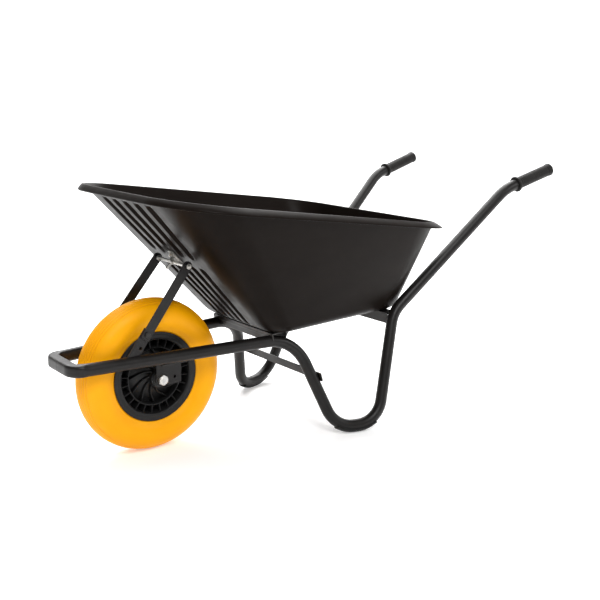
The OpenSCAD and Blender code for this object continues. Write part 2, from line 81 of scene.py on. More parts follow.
# ---------------------------------------------------------------- materials
class Nodes:
    """Small helper that wires one procedural material."""

    def __init__(self, name):
        self.mat = bpy.data.materials.new(name)
        self.mat.use_nodes = True
        self.tree = self.mat.node_tree
        self.shader = self.tree.nodes["Principled BSDF"]
        self.coords = self.add("ShaderNodeTexCoord").outputs["Object"]

    def add(self, kind, **values):
        node = self.tree.nodes.new(kind)
        for key, value in values.items():
            setattr(node, key, value)
        return node

    def link(self, a, b):
        self.tree.links.new(a, b)

    def noise(self, scale, detail=4, rough=0.55, stretch=None):
        node = self.add("ShaderNodeTexNoise")
        node.inputs["Scale"].default_value = scale
        node.inputs["Detail"].default_value = detail
        node.inputs["Roughness"].default_value = rough
        if stretch:
            place = self.add("ShaderNodeMapping")
            place.inputs["Scale"].default_value = stretch
            self.link(self.coords, place.inputs["Vector"])
            self.link(place.outputs["Vector"], node.inputs["Vector"])
        else:
            self.link(self.coords, node.inputs["Vector"])
        return node.outputs["Fac"]

    def cells(self, scale):
        node = self.add("ShaderNodeTexVoronoi")
        node.inputs["Scale"].default_value = scale
        self.link(self.coords, node.inputs["Vector"])
        return node.outputs["Distance"]

    def ramp(self, fac, low, high, at_low=0.3, at_high=0.7):
        node = self.add("ShaderNodeValToRGB")
        node.color_ramp.elements[0].position = at_low
        node.color_ramp.elements[1].position = at_high
        node.color_ramp.elements[0].color = tuple(low) + (1,) if len(low) == 3 else low
        node.color_ramp.elements[1].color = tuple(high) + (1,) if len(high) == 3 else high
        self.link(fac, node.inputs["Fac"])
        return node.outputs["Color"]

    def span(self, fac, low, high):
        node = self.add("ShaderNodeMapRange")
        node.inputs["From Min"].default_value = 0.3
        node.inputs["From Max"].default_value = 0.7
        node.inputs["To Min"].default_value = low
        node.inputs["To Max"].default_value = high
        self.link(fac, node.inputs["Value"])
        return node.outputs["Result"]

    def mix(self, fac, a, b, blend="MIX"):
        node = self.add("ShaderNodeMix", data_type="RGBA", blend_type=blend)
        if isinstance(fac, float):
            node.inputs["Factor"].default_value = fac
        else:
            self.link(fac, node.inputs["Factor"])
        for socket, value in ((node.inputs[6], a), (node.inputs[7], b)):
            if isinstance(value, tuple):
                socket.default_value = value + (1,)
            else:
                self.link(value, socket)
        return node.outputs[2]

    def edge_wear_and_groove_shade(self, low, high):
        """Grey factor from pointiness: it rises on outward edges as edge wear, and, when low is above high, in
        hollows as painted shade.
        """
        geo = self.add("ShaderNodeNewGeometry")
        node = self.add("ShaderNodeMapRange")
        node.inputs["From Min"].default_value = low
        node.inputs["From Max"].default_value = high
        self.link(geo.outputs["Pointiness"], node.inputs["Value"])
        return node.outputs["Result"]

    def bump(self, *layers):
        """Each layer is (height, strength, distance in metres)."""
        normal = None
        for height, strength, distance in layers:
            node = self.add("ShaderNodeBump")
            node.inputs["Strength"].default_value = strength
            node.inputs["Distance"].default_value = distance
            self.link(height, node.inputs["Height"])
            if normal:
                self.link(normal, node.inputs["Normal"])
            normal = node.outputs["Normal"]
        self.link(normal, self.shader.inputs["Normal"])

    def finish(self, color, rough, **constants):
        self.link(color, self.shader.inputs["Base Color"])
        self.link(rough, self.shader.inputs["Roughness"])
        for key, value in constants.items():
            self.shader.inputs[key.replace("_", " ")].default_value = value
        return self.mat


def powder_coat(name, dark, light, rough=(0.30, 0.42)):
    """Black powder coat: orange-peel surface, faint dust, slightly lighter rubbed edges."""
    m = Nodes(name)
    base = m.ramp(m.noise(9, 5), dark, light)
    dust = m.ramp(m.noise(160, 3, 0.7), (0, 0, 0), (0.008, 0.008, 0.008), 0.55, 0.8)
    base = m.mix(0.5, base, dust, "ADD")
    base = m.mix(m.edge_wear_and_groove_shade(0.53, 0.62), base, (0.040, 0.038, 0.036))
    m.bump((m.noise(420, 2), 0.25, 0.00025), (m.noise(38, 3), 0.12, 0.0006))
    return m.finish(base, m.span(m.noise(22, 4), *rough), Specular_IOR_Level=0.24)


def moulded(name, dark, light, rough, spec=0.18, grain=900, grain_depth=0.0001, edge=(0.022, 0.020, 0.018)):
    """Moulded black plastic: fine spark grain, soft flow marks, pale rubbed edges."""
    m = Nodes(name)
    flow = m.noise(5, 4, 0.6, (1, 1, 2.5))
    base = m.ramp(flow, dark, light)
    if edge:
        base = m.mix(m.edge_wear_and_groove_shade(0.60, 0.80), base, edge)
    m.bump((m.noise(grain, 2), 0.12, grain_depth), (m.noise(14, 3), 0.06, 0.0008))
    return m.finish(base, m.span(m.noise(34, 4), *rough), Specular_IOR_Level=spec)


def zinc(name, low=(0.52, 0.53, 0.54), high=(0.80, 0.80, 0.79), rough=(0.22, 0.40)):
    """Bright zinc plate: cloudy passivation and fine handling marks."""
    m = Nodes(name)
    cloud = m.ramp(m.noise(120, 5, 0.65), low, high)
    tint = m.ramp(m.noise(45, 2), (0.95, 0.97, 1.0), (1.0, 0.98, 0.93))
    base = m.mix(1.0, cloud, tint, "MULTIPLY")
    m.bump((m.noise(900, 3), 0.3, 0.00006))
    return m.finish(base, m.span(m.noise(260, 4), *rough), Metallic=1.0)


PAINT = powder_coat("frame_powder_coat", (0.0062, 0.0055, 0.0052), (0.0105, 0.0093, 0.0088))
BAR_PAINT = powder_coat("bar_powder_coat", (0.0070, 0.0062, 0.0060), (0.0120, 0.0107, 0.0103), (0.34, 0.48))
TRAY_PLASTIC = moulded("tray_plastic", (0.0052, 0.0036, 0.0028), (0.0078, 0.0056, 0.0045), (0.30, 0.40),
                       spec=0.05, grain=500, grain_depth=0.00004, edge=None)
RIM_PLASTIC = moulded("rim_plastic", (0.0055, 0.0055, 0.0055), (0.0105, 0.0105, 0.0105), (0.34, 0.46),
                      spec=0.24)
PAD_PLASTIC = moulded("pad_plastic", (0.006, 0.006, 0.006), (0.010, 0.010, 0.010), (0.40, 0.55))
ZINC = zinc("zinc_plate", (0.40, 0.39, 0.37), (0.62, 0.60, 0.57), (0.24, 0.42))
STEEL = zinc("plain_steel", (0.35, 0.35, 0.36), (0.55, 0.55, 0.55), (0.30, 0.50))
BLACK_STEEL = powder_coat("black_fixings", (0.0075, 0.0072, 0.0070), (0.0140, 0.0135, 0.0130), (0.30, 0.45))


def tyre_foam():
    """Solid foamed polyurethane: matt skin, faint mottling, and painted shade: a darker orange in the grooves.
    """
    m = Nodes("tyre_foam")
    body = m.ramp(m.noise(7, 5), (0.84, 0.345, 0.0), (0.93, 0.405, 0.0))
    speck = m.ramp(m.noise(260, 4, 0.7), (0.97, 0.95, 0.9), (1.0, 1.0, 1.0))
    base = m.mix(1.0, body, speck, "MULTIPLY")
    # Painted shade: a darker orange where the surface is hollow, in the tread grooves.
    base = m.mix(m.edge_wear_and_groove_shade(0.49, 0.44), base, (0.62, 0.20, 0.003))
    m.bump((m.noise(700, 3), 0.25, 0.00012), (m.noise(40, 3), 0.08, 0.0008))
    return m.finish(base, m.span(m.noise(30, 4), 0.36, 0.50), Specular_IOR_Level=0.16)


def grip_rubber():
    """Soft black rubber with a fine cross-hatched grain."""
    m = Nodes("grip_rubber")
    base = m.ramp(m.noise(30, 4), (0.0055, 0.0048, 0.0045), (0.0100, 0.0090, 0.0085))
    base = m.mix(m.edge_wear_and_groove_shade(0.54, 0.64), base, (0.022, 0.020, 0.019))
    m.bump((m.cells(700), 0.6, 0.0004), (m.noise(90, 4), 0.15, 0.0005))
    return m.finish(base, m.span(m.noise(60, 3), 0.45, 0.62), Specular_IOR_Level=0.2)


def bush_nylon():
    """Black nylon with a fine grain."""
    m = Nodes("bush_nylon")
    base = m.ramp(m.noise(40, 4), (0.020, 0.020, 0.020), (0.032, 0.031, 0.030))
    m.bump((m.noise(600, 3), 0.2, 0.0001))
    return m.finish(base, m.span(m.noise(80, 3), 0.35, 0.5))


TYRE_FOAM = tyre_foam()
GRIP_RUBBER = grip_rubber()
NYLON = bush_nylon()


# ---------------------------------------------------------------- mesh helpers
class Shape:
    """Vertices in millimetres and faces. Several closed solids may sit in one shape."""

    def __init__(self):
        self.v, self.f = [], []

    def stack(self, rings, loop=False, caps=True):
        """Joins rings of equal length. loop joins the last ring to the first."""
        base, n = len(self.v), len(rings[0])
        for ring in rings:
            self.v += [Vector(p) for p in ring]
        pairs = len(rings) if loop else len(rings) - 1
        for k in range(pairs):
            a, b = base + k * n, base + ((k + 1) % len(rings)) * n
            for i in range(n):
                j = (i + 1) % n
                self.f.append((a + i, a + j, b + j, b + i))
        if caps and not loop:
            self.f.append(tuple(base + i for i in reversed(range(n))))
            self.f.append(tuple(base + (len(rings) - 1) * n + i for i in range(n)))
        return self

    def plate(self, outline, holes, z0, z1):
        """Flat plate with holes, from z0 to z1."""
        loops = [outline] + holes
        flat = [Vector((p[0], p[1], 0)) for loop in loops for p in loop]
        tris = tessellate_polygon([[Vector((p[0], p[1], 0)) for p in loop] for loop in loops])
        base, n = len(self.v), len(flat)
        self.v += [Vector((p.x, p.y, z0)) for p in flat] + [Vector((p.x, p.y, z1)) for p in flat]
        for a, b, c in tris:
            self.f.append((base + c, base + b, base + a))
            self.f.append((base + n + a, base + n + b, base + n + c))
        start = base
        for loop in loops:
            m = len(loop)
            for i in range(m):
                j = (i + 1) % m
                self.f.append((start + i, start + j, start + n + j, start + n + i))
            start += m
        return self

    def lathe(self, profile, n=48, loop=False):
        """profile is (r, z) pairs turned about z. An open profile starts and ends at r = 0."""
        rings = []
        for k in range(n):
            a = 2 * math.pi * k / n
            rings.append([(r * math.cos(a), r * math.sin(a), z) for r, z in profile])
        base, m = len(self.v), len(profile)
        for ring in rings:
            self.v += [Vector(p) for p in ring]
        for k in range(n):
            a, b = base + k * m, base + ((k + 1) % n) * m
            for i in range(m if loop else m - 1):
                j = (i + 1) % m
                self.f.append((a + i, b + i, b + j, a + j))
        return self

    def put(self, other, matrix):
        base = len(self.v)
        self.v += [matrix @ p for p in other.v]
        self.f += [tuple(base + i for i in face) for face in other.f]
        return self


def piece(name, shape, material, body="frame", stands_for=(), sharp=34, bevel=0.0, segs=2):
    mesh = bpy.data.meshes.new(name)
    mesh.from_pydata([at(v) for v in shape.v], [], shape.f)
    bm = bmesh.new()
    bm.from_mesh(mesh)
    bmesh.ops.remove_doubles(bm, verts=bm.verts, dist=0.000002)
    bmesh.ops.recalc_face_normals(bm, faces=bm.faces)
    bm.to_mesh(mesh)
    bm.free()
    mesh.shade_smooth()
    mesh.set_sharp_from_angle(angle=math.radians(sharp))
    mesh.materials.append(material)
    obj = bpy.data.objects.new(name, mesh)
    bpy.context.scene.collection.objects.link(obj)
    if bevel:
        mod = obj.modifiers.new("edge", "BEVEL")
        mod.width = bevel * MM
        mod.segments = segs
        mod.limit_method = "ANGLE"
        mod.angle_limit = math.radians(sharp)
        mod.harden_normals = True
    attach(obj, body)
    if stands_for:
        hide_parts(*stands_for)
    return obj


def on_axes(o, a, b):
    a, b = Vector(a).normalized(), Vector(b).normalized()
    c = a.cross(b)
    m = Matrix((a, b, c)).transposed().to_4x4()
    m.translation = Vector(o)
    return m


def along_y(o):
    """Local z runs along +y."""
    return on_axes(o, (1, 0, 0), (0, 0, -1))


def circle(r, n=32, cx=0, cy=0, a0=0, sweep=360):
    closed = sweep == 360
    steps = n if closed else n + 1
    return [(cx + r * math.cos(math.radians(a0 + sweep * i / n)),
             cy + r * math.sin(math.radians(a0 + sweep * i / n))) for i in range(steps)]


def hex_head(af, h, chamfer=0.07, both=False, hole=0.0, n=60):
    """Hexagon prism whose corners are turned off at 30 degrees. both chamfers the lower face too."""
    s = Shape()
    flat = af / 2
    turn_r = flat * (1 - chamfer)

    def rim(inner, z, cut):
        ring = []
        for i in range(n):
            a = 2 * math.pi * i / n
            r = flat / math.cos((a + math.pi / 6) % (math.pi / 3) - math.pi / 6)
            r = min(r, inner) if inner else r
            rise = cut * max(0, r - turn_r) * math.tan(math.radians(30))
            ring.append((r * math.cos(a), r * math.sin(a), z + rise))
        return ring

    bottom = [rim(turn_r, 0, 0), rim(None, 0, 1)] if both else [rim(None, 0, 0)]
    rings = bottom + [rim(None, h, -1), rim(turn_r, h, 0)]
    if hole:
        inner = [[(r * math.cos(2 * math.pi * i / n), r * math.sin(2 * math.pi * i / n), z) for i in range(n)]
                 for r, z in ((hole * 1.12, h), (hole, h - hole * 0.12), (hole, hole * 0.12), (hole * 1.12, 0))]
        return s.stack(rings + inner, loop=True)
    return s.stack(rings)


def thread(r, z0, z1, pitch=1.25, tip=True):
    """Threaded shank as closely spaced rings, chamfered at z1."""
    prof = [(0, z0), (r, z0)]
    sign = 1 if z1 > z0 else -1
    count = int(abs(z1 - z0 - sign * 1.5) / pitch)
    for i in range(count):
        z = z0 + sign * (i + 0.25) * pitch
        prof += [(r, z), (r * 0.9, z + sign * pitch * 0.4), (r, z + sign * pitch * 0.8)]
    prof += [(r, z1 - sign * r * 0.18), (r * 0.78, z1), (0, z1)]
    return Shape().lathe(prof, 28)


def domed(r, h, z=0.0, steps=8):
    big = (r * r + h * h) / (2 * h)
    top = math.asin(min(1, r / big))
    out = [(0, z), (r * 0.97, z)]
    out += [(big * math.sin(top * (1 - i / steps)),
             z + h - big + big * math.cos(top * (1 - i / steps)) + 0.25 * (1 - i / steps))
            for i in range(steps)]
    return Shape().lathe(out + [(0, z + h)], 32)


def washer(r_out, r_in, z, t, e=0.25):
    prof = [(r_in, z + e), (r_in + e, z), (r_out - e, z), (r_out, z + e),
            (r_out, z + t - e), (r_out - e, z + t), (r_in + e, z + t), (r_in, z + t - e)]
    return Shape().lathe(prof, 40, loop=True)


# ---------------------------------------------------------------- tube path
PATH = [(-235, 0, 265), (-235, 68, 265), (366, 135, 265), (440, 227, 18.4),
        (564, 264, 18.4), (661, 211, 306), (1036, 276.5, 634), (1217, 291, 684)]
BEND = [0, 30, 110, 80, 80, 110, 140, 0]
TUBE_R, TUBE_WALL = 16.0, 1.5
GRIP_CAP, GRIP_LEN = 4, 146


def half_path(s):
    return [Vector((x, s * y, z)) for x, y, z in PATH]


def run_dir(P, i):
    return (P[i + 1] - P[i]).normalized()


def setback(P, i):
    if not BEND[i]:
        return 0
    return BEND[i] * math.tan(run_dir(P, i - 1).angle(run_dir(P, i)) / 2)


def bend_side(P, i):
    """Unit direction from the corner towards the centre of bend i."""
    u, v = run_dir(P, i - 1), run_dir(P, i)
    return (v - u.dot(v) * u).normalized()


def centreline(P, last, step=4):
    """Stations (point, tangent, inward, tightness) along the path up to point number last."""
    out = [(P[0].copy(), run_dir(P, 0), None, 0)]
    for i in range(1, last):
        u, v = run_dir(P, i - 1), run_dir(P, i)
        n = bend_side(P, i)
        c = P[i] - u * setback(P, i) + n * BEND[i]
        whole = u.angle(v)
        count = max(4, round(math.degrees(whole) / step))
        for k in range(count + 1):
            a = whole * k / count
            point = c - n * BEND[i] * math.cos(a) + u * BEND[i] * math.sin(a)
            tangent = u * math.cos(a) + n * math.sin(a)
            inward = n * math.cos(a) - u * math.sin(a)
            out.append((point, tangent, inward, math.sin(math.pi * k / count) * 30 / BEND[i]))
    out.append((P[last].copy(), run_dir(P, last - 1), None, 0))
    return out


NOSE_ROUND = -205.0


def tube_rings(stations, r, n=48):
    """Rings that don't twist. A tight bend is drawn in a little on its inner side."""
    rings, x = [], None
    for point, tangent, inward, tight in stations:
        if x is None:
            x = tangent.orthogonal().normalized()
        x = (x - x.dot(tangent) * tangent).normalized()
        y = tangent.cross(x)
        ring = []
        for k in range(n):
            a = 2 * math.pi * k / n
            d = x * math.cos(a) + y * math.sin(a)
            rr = r
            flat = max(0.0, min(1.0, (NOSE_ROUND - point.x) / 22))
            if flat > 0:
                power = 2 + 3.2 * flat
                across, upward = abs(d.dot(tangent.cross(Vector((0, 0, 1))))), abs(d.z)
                rr = r * (1 - 0.06 * flat) * (across ** power + upward ** power) ** (-1 / power)
            if inward is not None and tight > 0:
                rr *= 1 - 0.13 * tight * max(0, d.dot(inward)) ** 2
            ring.append(point + d * rr)
        rings.append(ring)
    return rings


for side_name, s in SIDES.items():
    P = half_path(s)
    P[0] = P[0] + Vector((0, s * 0.15, 0))
    P[7] = P[7] - run_dir(P, 6) * (GRIP_CAP + 1)
    stations = centreline(P, 7)
    rail_start = max(k for k in range(len(stations) - 1)
                     if stations[k][0].x < NOSE_ROUND + 5 and (stations[k + 1][0] - stations[k][0]).length > 60)
    a_pt, b_pt = stations[rail_start][0], stations[rail_start + 1][0]
    extra = [(a_pt + (b_pt - a_pt).normalized() * 5 * k, stations[rail_start][1], None, 0) for k in range(1, 9)]
    stations[rail_start + 1:rail_start + 1] = extra
    outer = tube_rings(stations, TUBE_R)
    inner = tube_rings(stations, TUBE_R - TUBE_WALL)
    tube = Shape().stack(outer + inner[::-1], loop=True)
    piece(f"frame_tube_{side_name}", tube, PAINT, stands_for=[f"frame_tube_{side_name}"],
          sharp=50, bevel=0.4, segs=1)

# ---------------------------------------------------------------- grips and foot pads
GRIP_PROFILE = [
    (16.06, 0.6), (16.6, 0), (20.2, 0), (21.8, 0.7), (22.8, 2.2), (23, 4), (22.5, 5.8), (21, 7.2),
    (19.4, 8.4), (18.4, 10.2), (17.8, 13), (17.5, 17)]
for k in range(26):
    z = 20 + k * 4.2
    GRIP_PROFILE += [(17.5, z), (17.15, z + 0.5), (17.15, z + 1.1), (17.5, z + 1.6)]
GRIP_PROFILE += [
    (17.5, 133), (18.0, 136), (18.6, 139), (18.9, 141.5), (18.6, 143.8), (17.6, 145.4), (15.6, 146),
    (9, 146), (8, 145.4), (0, 145.2), (0, 142.0), (16.06, 142.0)]
GRIP_OUT = GRIP_PROFILE[:-2]
GRIP_IN = [(0, 142.0), (16.06, 142.0)]
for side_name, s in SIDES.items():
    P = half_path(s)
    u = run_dir(P, 6)
    base = P[7] - u * GRIP_LEN
    grip_axes = on_axes(base, Vector((0, 0, 1)).cross(u), u.cross(Vector((0, 0, 1)).cross(u)))
    whole = Shape().lathe(GRIP_IN + GRIP_OUT, 56)
    piece(f"grip_{side_name}", Shape().put(whole, grip_axes), GRIP_RUBBER,
          stands_for=[f"grip_{side_name}"], sharp=50)

PAD_T, PAD_SWEEP, PAD_HALF = 3.0, 34, 56
for side_name, s in SIDES.items():
    P = half_path(s)
    u = run_dir(P, 3)
    x = -bend_side(P, 4)
    start = P[3] + u * setback(P, 3)
    flat_len = (P[4] - P[3]).length - setback(P, 3) - setback(P, 4)
    pad_axes = on_axes(start, x, u.cross(x))
    rings = []
    marks = [(-1, BEND[3], PAD_SWEEP * (1 - k / 14)) for k in range(15)]
    marks += [(0, 0, k / 6) for k in range(1, 6)]
    marks += [(1, BEND[4], PAD_SWEEP * k / 14) for k in range(15)]
    for kind, R, value in marks:
        if kind == 0:
            spot, out_dir, share = Vector((0, 0, flat_len * value)), Vector((1, 0, 0)), 0
        else:
            a = math.radians(value)
            z_end = 0 if kind < 0 else flat_len
            spot = Vector((-R + R * math.cos(a), 0, z_end + kind * R * math.sin(a)))
            out_dir, share = Vector((math.cos(a), 0, kind * math.sin(a))), value / PAD_SWEEP
        lip = 0.8 * max(0, share - 0.88) / 0.12
        thick = PAD_T + lip
        ring = []
        for r_add, a0, a1 in ((thick, -PAD_HALF, PAD_HALF), (0.15, PAD_HALF, -PAD_HALF)):
            for k in range(21):
                a = math.radians(a0 + (a1 - a0) * k / 20)
                edge = abs(math.degrees(a)) / PAD_HALF
                r = TUBE_R + (r_add if r_add < 1 else r_add - 1.4 * max(0, edge - 0.85) / 0.15)
                ring.append(pad_axes @ (spot + out_dir * (r * math.cos(a)) + Vector((0, r * math.sin(a), 0))))
        rings.append([Vector((p.x, p.y, max(p.z, 0.0))) for p in ring])
    piece(f"foot_pad_{side_name}", Shape().stack(rings), PAD_PLASTIC,
          stands_for=[f"foot_pad_{side_name}"], sharp=40, bevel=0.4)

# ---------------------------------------------------------------- wheel
TYRE_MID, TYRE_H = 153.0, 47.0


def wheel_lathe(profile, n, loop=True):
    """profile is (radius, y) pairs turned about the axle."""
    return Shape().put(Shape().lathe(profile, n, loop), along_y((0, 0, AXLE_Z)))


def tyre_profile():
    bead = [(101.7, 31.2), (102.6, 32.9), (104, 33.1), (117.8, 33.1), (118.7, 33.6), (119.2, 34.9),
            (120.4, 35.9), (122.2, 36.8), (124.4, 37.9)]
    crown = []
    a_start = math.degrees(math.acos((127 - TYRE_MID) / TYRE_H))
    steps = 220
    for k in range(steps + 1):
        a = math.radians(a_start - a_start * k / steps)
        r, y = TYRE_MID + TYRE_H * math.cos(a), TYRE_H * math.sin(a)
        band = max(0.0, min(1.0, (33 - abs(y)) / 2))
        wave = 0.5 - 0.5 * math.cos(2 * math.pi * y / 6.4)
        cut = 1.15 * band * wave ** 4
        crown.append((r - cut * math.cos(a), y - cut * math.sin(a)))
    right = bead + crown
    return right + [(r, -y) for r, y in reversed(right[:-1])]


piece("tyre", wheel_lathe(tyre_profile(), 168), TYRE_FOAM, "wheel", ["tyre"], sharp=70)

RIM_SIDE = [
    (16.1, 55.6), (17.0, 56.4), (22.6, 56.4), (24.0, 55.0), (24.6, 44), (26.0, 38), (29, 33.5), (33, 30.5),
    (40, 26.5), (50, 20), (60, 13.5), (68, 9.0), (72.4, 8.0), (73.4, 9.5), (74.0, 28.6), (74.8, 29.5),
    (76.8, 29.5), (77.5, 28.6), (78.2, 7.5), (80, 4.8), (84, 4.0), (91, 4.0), (94.4, 5.6), (95.6, 9),
    (96.4, 29.0), (97.2, 33.6), (98.6, 36.2), (101, 37.4), (104, 37.5), (107.5, 36.8), (111, 36.9),
    (114, 37.5), (116.2, 37.3), (117.3, 36.4), (117.5, 35.2), (117.3, 34.2), (116.2, 33.4), (113, 33.3),
    (105, 33.3), (102.4, 32.6), (101.5, 31.0)]
RIM_PROFILE = RIM_SIDE + [(r, -y) for r, y in reversed(RIM_SIDE)]
BLADES, SHORT_RIBS = 12, 24


def cone_y(r):
    """Height of the dished web at radius r."""
    if r < 72:
        return 38 - (r - 26) * 0.63
    return 6.0


def rib_between(r0, r1, turn, top, foot, thick, start):
    """Curved upright rib from r0 to r1 on the +y face. turn is how far it swings."""
    rings = []
    for k in range(15):
        t = k / 14
        r = r0 + (r1 - r0) * t
        a = start + turn * (1 - t) ** 1.7
        dr, dd = (r1 - r0), -turn * 1.7 * (1 - t) ** 0.7 * r
        tangent = Vector((dr * math.cos(a) - dd * math.sin(a),
                          dr * math.sin(a) + dd * math.cos(a), 0)).normalized()
        side_dir = Vector((-tangent.y, tangent.x, 0))
        c = Vector((r * math.cos(a), r * math.sin(a), 0))
        y0, y1 = foot(r), top(r)
        h = thick / 2
        section = [(-h - 0.4, y0), (-h, y1 - 0.8), (-h + 0.7, y1), (h - 0.7, y1), (h, y1 - 0.8), (h + 0.4, y0)]
        rings.append([c + side_dir * w + Vector((0, 0, y)) for w, y in section])
    return Shape().stack(rings)


rim_shape = wheel_lathe(RIM_PROFILE, 144)
for face in (1, -1):
    to_wheel = along_y((0, 0, AXLE_Z)) @ Matrix.Scale(face, 4, (0, 0, 1))
    for k in range(BLADES):
        start = 2 * math.pi * k / BLADES
        blade = rib_between(25, 74, math.radians(46), lambda r: cone_y(r) + 7.0 + 6.0 * max(0, r - 50) / 24,
                            lambda r: cone_y(r) - 3, 2.6, start)
        rim_shape.put(blade, to_wheel)
    for k in range(SHORT_RIBS):
        start = 2 * math.pi * (k + 0.5) / SHORT_RIBS
        rib = rib_between(77, 96.4, 0.0, lambda r: 31.0, lambda r: 3.0, 2.4, start)
        rim_shape.put(rib, to_wheel)
piece("rim", rim_shape, RIM_PLASTIC, "wheel", ["rim"], sharp=40)

# ---------------------------------------------------------------- axle group
FORK, PLATE_T, WASHER_T, AXLE_R = 62.0, 4.0, 2.0, 8.0
OUT = FORK + PLATE_T + 0.1
bolt = Shape()
bolt.put(hex_head(24, 10), along_y((0, -OUT, AXLE_Z)) @ Matrix.Rotation(math.pi, 4, "X"))
bolt.put(Shape().lathe([(0, 0), (AXLE_R, 0), (AXLE_R, 2 * OUT - 6), (AXLE_R - 0.3, 2 * OUT - 5.5),
                        (0, 2 * OUT - 5.5)], 40),
         along_y((0, -OUT, AXLE_Z)))
bolt.put(thread(AXLE_R, 0, 23.5, 2.0), along_y((0, OUT - 6, AXLE_Z)))
piece("axle_bolt", bolt, ZINC, stands_for=["axle_bolt"], sharp=28)
nut = Shape().put(hex_head(24, 14, both=True, hole=AXLE_R + 0.05), along_y((0, OUT, AXLE_Z)))
piece("axle_nut", nut, ZINC, stands_for=["axle_nut"], sharp=28)
washers = Shape()
for y in (-FORK + 0.02, FORK - WASHER_T - 0.02):
    washers.put(washer(15, AXLE_R + 0.2, 0, WASHER_T), along_y((0, y, AXLE_Z)))
piece("axle_washers", washers, BLACK_STEEL, stands_for=["axle_washers"])

# Bracket: vertical plate with a round nose, and a flange bent out under the rail.
B_FRONT, B_BACK, B_LOW, B_TOP, B_NOSE, B_FLANGE = -15.0, 56.0, 184.0, 248.9, 18.0, 36.0
HOLE_R = 4.25


def bracket_outline():
    """Seen along y: x forward, z up, as (x, z)."""
    pts = [(B_BACK - 5, B_LOW)]
    pts = circle(5, 6, B_BACK - 5, B_LOW + 5, 270, 90)
    pts += [(B_BACK, B_TOP - 5.5), (B_FRONT, B_TOP - 5.5)]
    a0 = 180 - math.degrees(math.asin(math.sqrt(B_NOSE ** 2 - B_FRONT ** 2) / B_NOSE))
    pts += circle(B_NOSE, 22, 0, AXLE_Z, a0, 270 - math.degrees(math.asin(2 / B_NOSE)) - a0 + 6)
    return pts


for side_name, s in SIDES.items():
    plate_axes = on_axes((0, s * (FORK + PLATE_T) if s > 0 else -FORK, 0), (1, 0, 0), (0, 0, 1))
    holes = [circle(AXLE_R + 0.3, 32, 0, AXLE_Z)[::-1], circle(HOLE_R, 28, 37, AXLE_Z + 2)[::-1]]
    shape = Shape().put(Shape().plate(bracket_outline(), holes, 0, PLATE_T), plate_axes)
    rings = []
    for x in (B_FRONT, B_FRONT + 1, B_BACK - 1, B_BACK):
        ring = []
        bend_in, bend_out = 2.5, 2.5 + PLATE_T
        cy, cz = FORK + bend_out, B_TOP - bend_out
        outer = [(cy - bend_out * math.sin(math.radians(90 - 10 * k)),
                  cz + bend_out * math.cos(math.radians(90 - 10 * k))) for k in range(10)]
        inner = [(cy - bend_in * math.sin(math.radians(90 - 10 * k)),
                  cz + bend_in * math.cos(math.radians(90 - 10 * k))) for k in range(10)][::-1]
        profile = outer + [(FORK + B_FLANGE, B_TOP), (FORK + B_FLANGE, B_TOP - PLATE_T)] + inner
        profile = profile + [(FORK + PLATE_T, B_TOP - 8.5), (FORK, B_TOP - 8.5)]
        rings.append([(x, s * y, z) for y, z in profile])
    shape.put(Shape().stack(rings), Matrix.Identity(4))
    piece(f"axle_bracket_{side_name}", shape, BAR_PAINT, stands_for=[f"axle_bracket_{side_name}"],
          bevel=0.5)

# ---------------------------------------------------------------- struts
STRUT_FOOT, STRUT_HEAD = Vector((-57, 85.5, 318)), Vector((76, 75.5, 485))
BAR_W, BAR_T, BOLT_AT = 25.0, 4.0, 14.0


def mirrored(p, s):
    return Vector((p[0], s * p[1], p[2]))


def strut_axes(s):
    a, b = mirrored(STRUT_FOOT, s), mirrored(STRUT_HEAD, s)
    u = (b - a).normalized()
    return on_axes(a, u, Vector((0, 1, 0)).cross(u)), (b - a).length


strut_bolts, strut_nuts, rod_nuts = Shape(), Shape(), Shape()
for side_name, s in SIDES.items():
    axes, length = strut_axes(s)
    outline = [(3, -BAR_W / 2), (length, -BAR_W / 2)]
    outline += circle(BAR_W / 2, 24, length, 0, -90, 180)[1:-1]
    outline += [(length, BAR_W / 2), (3, BAR_W / 2), (0, BAR_W / 2 - 3), (0, 3 - BAR_W / 2)]
    bar = Shape().plate(outline, [], -BAR_T / 2, BAR_T / 2)
    piece(f"strut_{side_name}", Shape().put(bar, axes), BAR_PAINT, stands_for=[f"strut_{side_name}"],
          bevel=0.6)
    flip = Matrix.Identity(4) if s > 0 else Matrix.Rotation(math.pi, 4, "X")
    head = Shape().put(hex_head(13, 5.5), Matrix.Translation((0, 0, BAR_T / 2)))
    head.put(thread(4, BAR_T / 2, -BAR_T * 1.5 - 9.5), Matrix.Identity(4))
    spot = axes @ Matrix.Translation((BOLT_AT, 0, 0)) @ flip
    strut_bolts.put(head, spot)
    strut_nuts.put(hex_head(13, 6.5, both=True, hole=4.05),
                   spot @ Matrix.Translation((0, 0, -BAR_T * 1.5 - 6.8)))
piece("strut_bolts", strut_bolts, BLACK_STEEL, stands_for=["strut_bolts"], sharp=28)
piece("strut_nuts", strut_nuts, BLACK_STEEL, stands_for=["strut_nuts"], sharp=28)

ROD_HALF = STRUT_HEAD.y + 14
rod = Shape()
rod.put(Shape().lathe([(0, -62), (4, -62), (4, 62), (0, 62)], 32), along_y((STRUT_HEAD.x, 0, STRUT_HEAD.z)))
for s in (1, -1):
    end = thread(4, 61.5 * s, ROD_HALF * s)
    rod.put(end, along_y((STRUT_HEAD.x, 0, STRUT_HEAD.z)))
piece("strut_rod", rod, ZINC, stands_for=["strut_rod"], sharp=28)
out_y, in_y = STRUT_HEAD.y + BAR_T / 2 + 1, STRUT_HEAD.y - BAR_T / 2 - 1 - 6.5
for y in (out_y, in_y, -out_y - 6.5, -in_y - 6.5):
    rod_nuts.put(hex_head(13, 6.5, both=True, hole=4.05), along_y((STRUT_HEAD.x, y, STRUT_HEAD.z)))
piece("strut_rod_nuts", rod_nuts, ZINC, stands_for=["strut_rod_nuts"], sharp=28)

